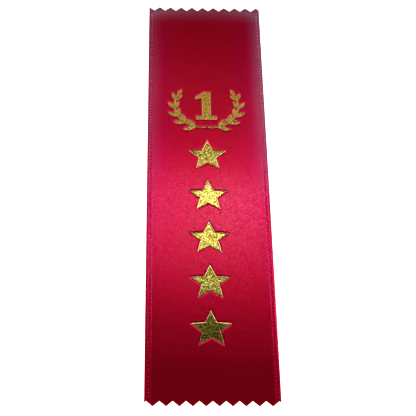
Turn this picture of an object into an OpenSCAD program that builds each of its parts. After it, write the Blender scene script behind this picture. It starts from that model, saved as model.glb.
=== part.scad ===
// Flat award ribbon: one strip of woven satin with pinked ends, and the gold foil
// devices that are hot-stamped on its face. Millimetres. X runs across the ribbon,
// Y along it with the top end at +Y, and Z up from the surface that it lies on.

/* [Ribbon] */
// Width of the ribbon from edge to edge
ribbon_w = 50.8; // [44:0.1:76]
// Length of the ribbon over the tips of its teeth
ribbon_l = 203.2; // [180:0.1:260]
// Thickness of the satin between the selvedges
satin_t = 0.3; // [0.25:0.01:0.5]

/* [Selvedges] */
// Width of the flat margin along each edge
margin_w = 0.6; // [0.3:0.1:1]
// Width of the raised woven band inside the margin
band_w = 1.9; // [1:0.1:3]
// Thickness of the margin
margin_t = 0.26; // [0.16:0.01:0.36]
// Thickness of the raised band
band_t = 0.36; // [0.34:0.01:0.7]

/* [Pinked ends] */
// Distance from one tooth to the next
tooth_pitch = 4.94; // [3:0.01:7]
// Depth of a tooth
tooth_depth = 2.2; // [1:0.1:3.5]
// Place of one tooth tip at the top end, in pitches from the middle
top_phase = -0.15; // [-0.5:0.01:0.5]
// Place of one tooth tip at the bottom end, in pitches from the middle
bottom_phase = 0.5; // [-0.5:0.01:0.5]

/* [Foil] */
// Thickness of the foil layer
foil_t = 0.04; // [0.02:0.01:0.1]
// Height of the numeral
numeral_h = 15.6; // [10:0.1:18]
// Middle of the numeral and its laurel, above the middle of the ribbon
numeral_y = 42; // [38:0.5:60]
// Middle of the first star, above the middle of the ribbon
first_star_y = 14.5; // [5:0.5:16]
// Distance from one star to the next
star_step = 21; // [17:0.5:22]
// Radius of a star from its middle to a tip
star_r = 8.3; // [5:0.1:8.5]

/* [Laurel] */
// Radius of the curve that each stem follows
stem_r = 12.2; // [11:0.1:14]
// Width of a stem
stem_w = 0.8; // [0.5:0.1:1.5]
// Pairs of leaves on a branch
leaf_pairs = 5; // [3:1:6]
// Length of the lowest leaf
leaf_l = 5.6; // [4:0.1:6]
// Width of the lowest leaf
leaf_w = 2.3; // [1:0.1:2.6]

/* [Hidden] */
$fn = 96;
slack = 1; // what a cutting shape has to spare

// Parts of the numeral, as shares of its height
trunk_share = 0.25;
foot_w_share = 0.58;
foot_h_share = 0.12;
flag_out_share = 0.19; // how far the flag reaches from the trunk
flag_low_share = 0.72; // height of the flag's lower corner
flag_end_share = 0.09; // height of the flag's blunt end
flag_rise_share = 0.06; // rise of the flag's lower edge towards the trunk
trunk_cut_share = 0.6; // how far the top runs left, as a share of the trunk's half width

// Each laurel branch, as angles about the middle of its own stem's curve
branch_foot = 276;
branch_tip = 152;
branch_shift = 1.7; // how far a branch stands out from the middle of the ribbon
first_pair = 21; // from the foot of the stem to the first pair of leaves
last_pair = 13; // from the last pair to the tip
leaf_lean = 33; // between a leaf and its stem
leaf_taper = 0.25; // share by which the last leaves are smaller
tip_sink = 1; // how far the tip leaf starts inside its stem

star_waist = 0.46; // inner radius of a star as a share of its outer radius

// Height in a row of teeth: 1 at a tip and 0 in a notch.
function tooth_at(x, phase) =
    let (u = x / tooth_pitch - phase + 0.5) 1 - 2 * abs(u - floor(u) - 0.5);

// The corners of a row of teeth, from the left edge of the ribbon to the right.
function tooth_row(phase) =
    let (edge = ribbon_w / 2,
         first = floor(2 * (-edge / tooth_pitch - phase)) + 1,
         last = ceil(2 * (edge / tooth_pitch - phase)) - 1,
         corners = [for (k = [first : last]) (phase + k / 2) * tooth_pitch])
    [for (x = concat([-edge], corners, [edge]))
        [x, ribbon_l / 2 - tooth_depth * (1 - tooth_at(x, phase))]];

// Plan of the strip: a row of teeth at the top, and another one, upside down, at the bottom.
module strip_plan() {
    top = tooth_row(top_phase);
    bottom = tooth_row(bottom_phase);
    polygon(concat(top, [for (i = [len(bottom) - 1 : -1 : 0]) [bottom[i][0], -bottom[i][1]]]));
}

// Section across the strip: a margin and a raised band on each side, with satin between.
module strip_section() {
    edge = ribbon_w / 2;
    band_out = edge - margin_w;
    band_in = band_out - band_w;
    right = [[edge, 0], [edge, margin_t], [band_out, margin_t],
             [band_out, band_t], [band_in, band_t], [band_in, satin_t]];
    polygon(concat(right, [for (i = [len(right) - 1 : -1 : 0]) [-right[i][0], right[i][1]]]));
}

module satin_strip() {
    color("crimson")
    intersection() {
        rotate([90, 0, 0]) linear_extrude(ribbon_l + 2 * slack, center = true) strip_section();
        translate([0, 0, -slack]) linear_extrude(band_t + 2 * slack) strip_plan();
    }
}

// A layer of foil of the children's outline, on the face of the satin.
module foil() {
    color("gold") translate([0, 0, satin_t]) linear_extrude(foil_t) children();
}

// The figure 1: a trunk with a sloping flag at its top and a flat foot.
module foil_numeral() {
    h = numeral_h;
    trunk = trunk_share * h / 2;
    foot = foot_w_share * h / 2;
    flag = trunk + flag_out_share * h;
    foil() translate([0, numeral_y - h / 2]) polygon([
        [-foot, 0], [foot, 0], [foot, foot_h_share * h], [trunk, foot_h_share * h],
        [trunk, h], [-trunk * trunk_cut_share, h], [-flag, (flag_low_share + flag_end_share) * h],
        [-flag, flag_low_share * h], [-trunk, (flag_low_share + flag_rise_share) * h],
        [-trunk, foot_h_share * h], [-foot, foot_h_share * h]]);
}

// A pointed leaf along +X from the origin: what two round discs share.
module leaf(size) {
    l = leaf_l * size;
    w = leaf_w * size;
    r = (l * l + w * w) / (4 * w);
    intersection() {
        translate([l / 2, r - w / 2]) circle(r);
        translate([l / 2, w / 2 - r]) circle(r);
    }
}

// Puts the children where the left stem passes this angle, with +X along the stem.
module on_stem(angle) {
    rotate(angle) translate([stem_r, 0]) rotate(-90) children();
}

// The left branch: a stem bent round the numeral, leaves in pairs, and one leaf at the tip.
module branch_plan() {
    reach = 2 * stem_r;
    middle = (branch_foot + branch_tip) / 2;
    pair_step = (branch_foot - branch_tip - first_pair - last_pair) / (leaf_pairs - 1);
    translate([-branch_shift, numeral_y]) {
        intersection() {
            difference() {
                circle(stem_r + stem_w / 2);
                circle(stem_r - stem_w / 2);
            }
            polygon([[0, 0], for (a = [branch_tip, middle, branch_foot]) reach * [cos(a), sin(a)]]);
        }
        for (i = [0 : leaf_pairs - 1], side = [-1, 1])
            on_stem(branch_foot - first_pair - i * pair_step)
                rotate(side * leaf_lean) leaf(1 - leaf_taper * i / (leaf_pairs - 1));
        on_stem(branch_tip + tip_sink) leaf(1 - leaf_taper);
    }
}

module foil_laurel_left() {
    foil() branch_plan();
}

module foil_laurel_right() {
    foil() mirror([1, 0]) branch_plan();
}

// Five-pointed star, number n counted down from the laurel.
module foil_star(n) {
    foil() translate([0, first_star_y - (n - 1) * star_step])
    polygon([for (i = [0 : 9]) star_r * (i % 2 == 0 ? 1 : star_waist) * [-sin(36 * i), cos(36 * i)]]);
}

satin_strip();
foil_numeral();
foil_laurel_left();
foil_laurel_right();
foil_star(1);  // foil_star_1
foil_star(2);  // foil_star_2
foil_star(3);  // foil_star_3
foil_star(4);  // foil_star_4
foil_star(5);  // foil_star_5
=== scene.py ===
import math
import random

import bmesh
import bpy
import numpy as np
from mathutils import Matrix, Vector
from mathutils.bvhtree import BVHTree


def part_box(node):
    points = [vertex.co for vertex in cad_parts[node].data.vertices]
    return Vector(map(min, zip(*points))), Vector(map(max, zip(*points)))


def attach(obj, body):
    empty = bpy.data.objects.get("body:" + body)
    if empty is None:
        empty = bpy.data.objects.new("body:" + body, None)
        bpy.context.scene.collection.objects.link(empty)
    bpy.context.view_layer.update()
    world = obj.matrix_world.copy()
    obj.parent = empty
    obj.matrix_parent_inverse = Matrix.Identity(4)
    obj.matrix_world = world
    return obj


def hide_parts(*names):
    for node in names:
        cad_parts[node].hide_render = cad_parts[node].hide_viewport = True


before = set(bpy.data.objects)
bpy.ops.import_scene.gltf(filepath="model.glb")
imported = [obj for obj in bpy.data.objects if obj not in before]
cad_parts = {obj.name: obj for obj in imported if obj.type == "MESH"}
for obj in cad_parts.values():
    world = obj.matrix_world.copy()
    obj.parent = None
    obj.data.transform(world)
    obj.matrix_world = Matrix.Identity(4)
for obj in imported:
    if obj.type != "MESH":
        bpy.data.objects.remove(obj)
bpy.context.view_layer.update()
mm = 0.001


# Camera. It stands beyond the lower end of the ribbon, half a metre from its middle, and
# looks up along it through a long lens.

camera = bpy.data.objects.new("camera", bpy.data.cameras.new("camera"))
camera.location = (-0.0216, -0.3014, 0.4079)
camera.rotation_euler = [math.radians(turn) for turn in (35.36, -2.27, -1.03)]
camera.data.lens = 105.6
camera.data.sensor_width = 36
bpy.context.scene.collection.objects.link(camera)
bpy.context.scene.camera = camera


# Nodes for every material. A Yarn is one value on its way through a material's nodes, and
# sums on it add the Math nodes.

class Yarn:
    def __init__(self, tree, socket=None):
        self.tree = tree
        self.socket = socket

    def node(self, kind, settings=(), sockets=(), out=0):
        """A new node: its settings first, then values or yarns for its sockets."""
        made = self.tree.nodes.new(kind)
        for name, value in dict(settings).items():
            setattr(made, name, value)
        for name, value in dict(sockets).items():
            if isinstance(value, Yarn):
                self.tree.links.new(value.socket, made.inputs[name])
            else:
                made.inputs[name].default_value = value
        return Yarn(self.tree, made.outputs[out])

    def maths(self, operation, *values, clamp=False):
        settings = {"operation": operation, "use_clamp": clamp}
        return self.node("ShaderNodeMath", settings, enumerate(values))

    def held(self):
        """The value kept between 0 and 1."""
        return self.maths("ADD", self, 0, clamp=True)

    def size(self):
        return self.maths("ABSOLUTE", self)

    def wave(self):
        return self.maths("SINE", self)

    def between(self, low, high):
        """The colour this share of the way from low to high."""
        sockets = {0: self, 6: low, 7: high}
        return self.node("ShaderNodeMix", {"data_type": "RGBA"}, sockets, out=2)

    def stretched(self, x, y, z):
        """A place scaled along each axis."""
        sockets = {0: self, 1: (x, y, z)}
        return self.node("ShaderNodeVectorMath", {"operation": "MULTIPLY"}, sockets)

    def grain(self, scale, detail=2, roughness=0.5):
        """Soft noise at this place, from 0 to 1."""
        sockets = {"Vector": self, "Scale": scale, "Detail": detail, "Roughness": roughness}
        return self.node("ShaderNodeTexNoise", {}, sockets)

    def bumped(self, strength, distance):
        """A surface normal that this height has bent."""
        sockets = {"Strength": strength, "Distance": distance, "Height": self}
        return self.node("ShaderNodeBump", {}, sockets)

    def parts(self):
        return [self.node("ShaderNodeSeparateXYZ", {}, {0: self}, out=axis) for axis in "XYZ"]

    def __add__(self, other):
        return self.maths("ADD", self, other)

    def __sub__(self, other):
        return self.maths("SUBTRACT", self, other)

    def __rsub__(self, other):
        return self.maths("SUBTRACT", other, self)

    def __mul__(self, other):
        return self.maths("MULTIPLY", self, other)

    def __truediv__(self, other):
        return self.maths("DIVIDE", self, other)

    def __pow__(self, other):
        return self.maths("POWER", self, other)

    __radd__ = __add__
    __rmul__ = __mul__


def new_material(name):
    """A material with one Principled shader: (material, shader, a yarn to start from)."""
    material = bpy.data.materials.new(name)
    material.use_nodes = True
    shader = material.node_tree.nodes["Principled BSDF"]
    return material, shader, Yarn(material.node_tree)


def dye(shader, fixed, **varying):
    """Sets a shader's fixed sockets and joins the yarns that vary to theirs."""
    for name, value in fixed.items():
        shader.inputs[name].default_value = value
    for name, yarn in varying.items():
        yarn.tree.links.new(yarn.socket, shader.inputs[name.replace("_", " ")])


def add_piece(name, shape, *materials):
    """An object at the origin, from a finished bmesh."""
    mesh = bpy.data.meshes.new(name)
    shape.to_mesh(mesh)
    shape.free()
    for material in materials:
        mesh.materials.append(material)
    piece = bpy.data.objects.new(name, mesh)
    bpy.context.scene.collection.objects.link(piece)
    return piece


# Table and light. A white table under a long softbox beyond the top of the ribbon, which
# draws the bright band across the satin. Weaker ones widen the band, a small lamp sparkles
# in the foil, and a big one over the camera's left shoulder fills in without being mirrored.

paint, shader, yarn = new_material("table_paint")
place = yarn.node("ShaderNodeTexCoord", out="Object")
patches = place.grain(3)
dye(shader, {"Roughness": 0.9, "Specular IOR Level": 0.1, "Emission Color": (1, 1, 1, 1),
             "Emission Strength": 0.7},
    Base_Color=patches.between((0.86, 0.86, 0.86, 1), (0.88, 0.88, 0.88, 1)))
table_reach = 3
shape = bmesh.new()
bmesh.ops.create_grid(shape, x_segments=1, y_segments=1, size=table_reach)
table = add_piece("table", shape, paint)


def softbox(name, place, aim, width, height, watts, tint, mirrored=True):
    """An area lamp. One that isn't mirrored doesn't show in glossy surfaces."""
    lamp = bpy.data.lights.new(name, "AREA")
    lamp.color = tint
    lamp.shape = "RECTANGLE"
    lamp.size = width
    lamp.size_y = height
    lamp.energy = watts
    holder = bpy.data.objects.new(name, lamp)
    holder.location = place
    holder.rotation_euler = (Vector(aim) - Vector(place)).to_track_quat("-Z", "Y").to_euler()
    holder.visible_glossy = mirrored
    bpy.context.scene.collection.objects.link(holder)


softbox("band_light", (0.15, 0.551, 0.822), (0.1, 0, 0), 1.2, 0.07, 0.5, (1, 0.98, 1.5))
softbox("right_light", (0.34, 0.6095, 0.7801), (0.34, 0, 0), 0.6, 0.12, 0.04, (1, 0.98, 1.25))
softbox("far_light", (0.25, 0.662, 0.736), (0.15, 0, 0), 1, 0.07, 0.13, (1, 0.5, 0.7))
softbox("sparkle_lamp", (0.06, 0.5536, 0.8207), (0.06, 0, 0), 0.04, 0.05, 0.018, (1, 1, 1.3))
softbox("shoulder_light", (-0.3, -1.1, 1.1), (0, 0, 0), 1.6, 1.2, 15, (1, 0.9, 0.5),
        mirrored=False)

# The room is pale near the horizon and away from the band light, and dark round it.
world = bpy.data.worlds.new("room")
bpy.context.scene.world = world
world.use_nodes = True
sky = Yarn(world.node_tree)
along, height = sky.node("ShaderNodeTexCoord", out="Generated").parts()[1:]
low = ((0.35 - height) * 5).held()
beyond = along * 0.56 + height * 0.83  # 1 towards the middle of the band light
behind = ((0.9 - beyond) * 4).held() * 0.5
pale = (low + behind).held()
glow = pale.between((0.03, 0.03, 0.03, 1), (0.9, 0.9, 0.9, 1))
room = world.node_tree.nodes["Background"]
sky.tree.links.new(glow.socket, room.inputs["Color"])
bpy.context.scene.view_settings.view_transform = "Standard"
bpy.context.scene.view_settings.look = "High Contrast"


# Satin strip. One length of crimson satin, warp-faced, with a woven selvedge down each side
# and both ends cut with a pinking blade. It lies on the table with a little wave in it.

strip_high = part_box("satin_strip")[1]
half_width = strip_high.x
half_length = strip_high.y
corners = {(round(v.co.x, 6), round(v.co.y, 6))
           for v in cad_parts["satin_strip"].data.vertices if v.co.z < 1e-6}
top_cut = sorted(c for c in corners if c[1] > 0)
bottom_cut = sorted(c for c in corners if c[1] < 0)
# Section of a selvedge: distance from the edge, and thickness there, in millimetres.
selvedge = [(0, 0.12), (0.05, 0.2), (0.15, 0.25), (0.5, 0.27), (0.62, 0.32), (0.8, 0.34),
            (1.05, 0.335), (1.2, 0.28), (1.8, 0.28), (1.95, 0.335), (2.2, 0.345), (2.4, 0.335),
            (2.52, 0.285), (2.7, 0.3)]
column_gap = 1.3 * mm
row_gap = 2 * mm
teeth_reach = 2.6 * mm  # from the ends to the first straight row of the mesh
cut_flat = 0.3 * mm  # the blade crushes the cloth this far in
cut_t = 0.2 * mm
# The lie of the cloth: heights in millimetres, lengths in metres.
arch_rise = 0.4
arch_foot = 22 * mm
arch_head = 60 * mm
swell_rise = 0.06
swell_length = 0.083
swell_shift = 0.1
roll_rise = 0.03
roll_across = 0.09
roll_along = 0.14


def eased(share):
    """A smooth step from 0 to 1."""
    share = min(1, max(0, share))
    return share * share * (3 - 2 * share)


def lie(x, y):
    """How far the cloth stands off the table."""
    arch = arch_rise * eased((half_length + y) / arch_foot) * eased((half_length - y) / arch_head)
    swell = swell_rise * (1 + math.sin(2 * math.pi * (y / swell_length + swell_shift)))
    roll = roll_rise * (1 + math.sin(2 * math.pi * (x / roll_across + y / roll_along)))
    return (arch + swell + roll) * mm


def thickness(x):
    from_edge = (half_width - abs(x)) / mm
    return np.interp(from_edge, *zip(*selvedge)) * mm


def stations(fixed, gap):
    """The fixed places, with more between them so that no gap is wider than this."""
    fixed = sorted(set(fixed))
    found = [fixed[0]]
    for here, after in zip(fixed, fixed[1:]):
        pieces = math.ceil((after - here) / gap - 1e-6)
        found += [here + (after - here) * k / pieces for k in range(1, pieces + 1)]
    return found


# The die pressed each foil patch into the cloth, and the cloth round it slopes down.
press_depth = 0.05 * mm
shoulder = 0.55 * mm
fine_reaches = (1.9 * mm, 1.1 * mm, 0.7 * mm)  # the mesh gets finer this near a patch
foil_nodes = ["foil_numeral", "foil_laurel_left", "foil_laurel_right"]
foil_nodes += [f"foil_star_{number}" for number in range(1, 6)]
dies = bmesh.new()
for node in foil_nodes:
    dies.from_mesh(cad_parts[node].data)
outline = dies.copy()
flats = [f for f in outline.faces if abs(f.normal.z) > 0.5]
bmesh.ops.delete(outline, geom=flats, context="FACES")
die_tree = BVHTree.FromBMesh(dies)
outline_tree = BVHTree.FromBMesh(outline)
die_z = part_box("foil_numeral")[0].z


def pressed(x, y):
    """How far the dies have pushed the cloth down here."""
    gap = die_tree.find_nearest((x, y, die_z))[3]
    return press_depth * (1 - eased(gap / shoulder))


woven = [side * (half_width - d * mm) for d, _ in selvedge for side in (-1, 1)]
teeth = [x for x, _ in top_cut + bottom_cut if abs(x) < half_width - 0.03 * mm]
columns = stations([round(x, 6) for x in woven + teeth], column_gap)
straight = half_length - teeth_reach
rows = stations([-straight, straight], row_gap)
last_row = len(rows) + 3
shape = bmesh.new()
crushed = shape.verts.layers.int.new("crushed")
bmesh.ops.create_grid(shape, x_segments=len(columns) - 1, y_segments=last_row, size=1)
for vert in shape.verts:
    x = columns[round((vert.co.x + 1) / 2 * (len(columns) - 1))]
    row = round((vert.co.y + 1) / 2 * last_row)
    top_y = np.interp(x, *zip(*top_cut))
    bottom_y = np.interp(x, *zip(*bottom_cut))
    ends = {0: bottom_y, 1: bottom_y + cut_flat, last_row - 1: top_y - cut_flat, last_row: top_y}
    vert.co = (x, ends[row] if row in ends else rows[row - 2], 0)
    vert[crushed] = row in (0, last_row)
raised = bmesh.ops.extrude_face_region(shape, geom=shape.faces[:])["geom"]
raised = [part for part in raised if isinstance(part, bmesh.types.BMVert)]
bmesh.ops.translate(shape, vec=(0, 0, 1), verts=raised)
for reach in fine_reaches:
    near = set()
    for face in shape.faces:
        middle = face.calc_center_median()
        if middle.z > 0.9 and outline_tree.find_nearest((middle.x, middle.y, die_z))[3] < reach:
            near.update(face.edges)
    bmesh.ops.subdivide_edges(shape, edges=list(near), cuts=1, use_grid_fill=True,
                              use_single_edge=True)
for vert in shape.verts:
    x, y, layer = vert.co
    cloth = min(cut_t, thickness(x)) if vert[crushed] else thickness(x)
    vert.co.z = lie(x, y) + (cloth - pressed(x, y)) * layer
bmesh.ops.recalc_face_normals(shape, faces=shape.faces)
for face in shape.faces:
    face.smooth = True


def painted_haze_share(place):
    """The share of painted haze, a pale painted sheen on the cloth: along the edges of its upper
    half, and at its top end.
    """
    x, y = [part / mm for part in place.parts()[:2]]
    sides = (1 - (half_width / mm - x.size()) / 8).held() ** 2
    upper = ((y + 10) / 60).held() * (0.75 + x / 100)
    top = (1 - (half_length / mm - y) / 12).held() ** 2 * (1 + (x / 24) ** 2)
    return (sides * upper + top).held()


low_crimson = (0.63, 0.0, 0.035, 1)
high_crimson = (0.72, 0.01, 0.07, 1)
selvedge_crimson = (0.9, 0.02, 0.12, 1)
painted_groove_shade = (0.2, 0.0, 0.02, 1)
painted_tint_crimson = (0.7, 0.0, 0.16, 1)
painted_haze_crimson = (0.76, 0.33, 0.45, 1)
back_crimson = (0.30, 0.004, 0.03, 1)
painted_edge_shade = (0.14, 0.0, 0.01, 1)
# In millimetres: one warp thread to the next, and the groove and inner side of a selvedge
# from the ribbon's edge.
thread_gap = 0.24
groove_in = 1.5
selvedge_in = 2.45
sharp_turn = math.radians(50)
crimson, shader, yarn = new_material("crimson_satin")
place = yarn.node("ShaderNodeTexCoord", out="Object")
facing = yarn.node("ShaderNodeTexCoord", out="Normal").parts()[2]
x, y = [part / mm for part in place.parts()[:2]]
from_edge = half_width / mm - x.size()
# back is 1 on the underside of the cloth, and cut is 1 on its cut edges.
back = (facing * -4).held()
cut = (1 - facing.size() * 2).held()
streaks = place.stretched(1, 0.04, 1).grain(900, 3)
mottle = place.stretched(1, 0.8, 1).grain(1900, 1)
threads = (x * (2 * math.pi / thread_gap) + mottle * 3).wave()
# Painted shade: the colour darkens along the selvedge groove, where the gap between the threads
# would lie in shadow.
groove_shade_share = 1 - ((from_edge - groove_in).size() * 2.5 - 0.3).held()
selvedge_share = 1 - ((from_edge - selvedge_in) * 6).held()
# Painted haze: the top end and the upper side edges are coloured pale mauve, a painted sheen of
# glare, and get a little more coat there.
painted_haze_mask = painted_haze_share(place)
speck = (mottle * 4 - 1.5).held()
warp = (streaks * 0.2 + speck * 0.8).between(low_crimson, high_crimson)
edged = (selvedge_share * 0.5).between(warp, selvedge_crimson)
shaded = (groove_shade_share * 0.2).between(edged, painted_groove_shade)
# Painted tint: a faint purple that grows towards the top and the side edges, the outer fringe of
# the painted haze.
painted_tint_share = ((y + 60) / 120).held() * (1 - from_edge / 16).held() * 0.6
painted_haze_colour = painted_haze_mask.between(painted_tint_share.between(shaded, painted_tint_crimson), painted_haze_crimson)
# Painted shade: the cut edges are coloured near black, for the dark shadow line along the cloth's
# edges.
colour = cut.between(back.between(painted_haze_colour, back_crimson), painted_edge_shade)
height = threads * 0.3 + mottle * 0.08 + streaks * 0.5
dye(shader, {"Coat Roughness": 0.15, "Coat IOR": 2.1, "Specular IOR Level": 0.2},
    Base_Color=colour,
    Metallic=0.8 - back * 0.5 - cut * 0.6,
    Roughness=0.235 + back * 0.3 + cut * 0.4,
    Coat_Weight=(speck * 0.22 + 0.1 + painted_haze_mask * 0.2) * (1 - back) * (1 - cut),
    Normal=height.bumped(0.5, 0.02 * mm))

strip = add_piece("ribbon_strip", shape, crimson)
strip.data.set_sharp_from_angle(angle=sharp_turn)
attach(strip, "root")
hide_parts("satin_strip")


# Selvedge stitches. A column of small cross stitches bridges the groove in each selvedge,
# and leaves a row of holes between them.

stitch_pitch = 1.6 * mm
stitch_size = Vector((1.1, 0.86, 0.14)) * mm
stitch_out = 1.5 * mm
stitch_z = 0.285 * mm
stitch_stray = 0.12  # how far one is out of step, as a share of the pitch
stitch_turn = 0.35
stitch_count = int((2 * straight) / stitch_pitch)
loose = random.Random(7)
shape = bmesh.new()
for side in (-1, 1):
    x = side * (half_width - stitch_out)
    for k in range(stitch_count):
        y = (k - (stitch_count - 1) / 2 + loose.uniform(-stitch_stray, stitch_stray)) * stitch_pitch
        made = bmesh.ops.create_uvsphere(shape, u_segments=8, v_segments=4, radius=0.5)["verts"]
        size = stitch_size * loose.uniform(0.8, 1.1)
        bmesh.ops.scale(shape, vec=size, verts=made)
        turn = Matrix.Rotation(loose.uniform(-stitch_turn, stitch_turn), 3, "Z")
        bmesh.ops.rotate(shape, matrix=turn, verts=made)
        bmesh.ops.translate(shape, vec=(x, y, lie(x, y) + stitch_z), verts=made)
for face in shape.faces:
    face.smooth = True

thread, shader, yarn = new_material("selvedge_thread")
place = yarn.node("ShaderNodeTexCoord", out="Object")
twist = place.grain(1200, 3)
dyed = (twist * 2 - 0.5).held().between((0.55, 0.0, 0.05, 1), selvedge_crimson)
# The thread takes the same painted haze as the satin, a pale painted sheen near the top end and the
# upper edges.
dye(shader, {"Metallic": 0.7, "Roughness": 0.3, "Specular IOR Level": 0.3},
    Base_Color=painted_haze_share(place).between(dyed, painted_haze_crimson),
    Normal=twist.bumped(0.5, 0.03 * mm))
stitches = add_piece("selvedge_stitches", shape, thread)
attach(stitches, "root")


# Foil. Gold film pressed into the satin by a hot die: a numeral between two laurel branches,
# and five stars. Each patch has a low lip, because the film turns up at the die's edge.

dull_gold = (0.30, 0.23, 0.01, 1)
bright_gold = (0.88, 0.81, 0.2, 1)
painted_light_gold = (1, 0.74, 0.13, 1)
painted_lip_gold = (1, 0.86, 0.28, 1)
gold, shader, yarn = new_material("gold_foil")
place = yarn.node("ShaderNodeTexCoord", out="Object")
blotches = place.grain(1100, 4, 0.65)
pits = place.stretched(1, 0.8, 1).grain(2400, 2)
buckle = place.grain(160, 2)
# Painted light: over the numeral row at the top the gold is made lighter and warmer, on top of the
# film's random mottle; the roughness and relief grow there too.
upper = ((place.parts()[1] / mm - 26) / 18).held()
mottle_and_painted_light = (blotches * 4 - 1.5 + upper * 0.35).held()
# Painted highlight: the lip is coloured paler gold, standing in for the light its rounded edge
# catches.
edge = yarn.node("ShaderNodeAttribute", {"attribute_name": "painted_lip_highlight"}, out=2)
bright = upper.between(bright_gold, painted_light_gold)
film = mottle_and_painted_light.between(dull_gold, bright)
relief = (blotches * 0.8 + pits * 0.3 + buckle * 0.7) * (1 + upper)
dye(shader, {"Metallic": 1, "Specular IOR Level": 0.5},
    Base_Color=edge.between(film, painted_lip_gold),
    Roughness=0.12 + pits * 0.12 + upper * 0.21,
    Normal=relief.bumped(1, 0.024 * mm))
lip_w = 0.22 * mm
leaf_lip_w = 0.14 * mm
lip_rise = 0.014 * mm
lip_drop = 0.03 * mm
film_t = 0.05 * mm
satin_t = 0.30 * mm
foil_sink = 0.015 * mm
foil_foot = satin_t - press_depth - foil_sink
slice_gap = 2 * mm


def sliced(shape, low, high):
    """Cuts the shape into squares, so that it can follow the lie of the cloth."""
    for axis in (0, 1):
        for place in np.arange(low[axis] + slice_gap / 2, high[axis], slice_gap):
            point = [0, 0, 0]
            point[axis] = place
            normal = [0, 0, 0]
            normal[axis] = 1
            everything = shape.verts[:] + shape.edges[:] + shape.faces[:]
            bmesh.ops.bisect_plane(shape, geom=everything, plane_co=point, plane_no=normal)


for node in foil_nodes:
    low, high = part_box(node)
    shape = bmesh.new()
    shape.from_mesh(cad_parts[node].data)
    bmesh.ops.remove_doubles(shape, verts=shape.verts, dist=1e-6)
    painted_lip_highlight = shape.verts.layers.float.new("painted_lip_highlight")
    for vert in shape.verts:
        vert[painted_lip_highlight] = 1
    face_up = [f for f in shape.faces if f.normal.z > 0.9]
    lip = leaf_lip_w if "laurel" in node else lip_w
    for rise in (lip_rise, -lip_drop):
        bmesh.ops.inset_region(shape, faces=face_up, thickness=lip, depth=rise,
                               use_even_offset=True)
    for vert in {vert for face in face_up for vert in face.verts}:
        vert[painted_lip_highlight] = 0
    sliced(shape, low, high)
    film_share = film_t / (high.z - low.z)
    for vert in shape.verts:
        vert.co.z = foil_foot + (vert.co.z - low.z) * film_share + lie(vert.co.x, vert.co.y)
    bmesh.ops.triangulate(shape, faces=shape.faces)
    patch = add_piece(node.replace("foil_", "gold_"), shape, gold)
    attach(patch, "root")
    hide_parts(node)
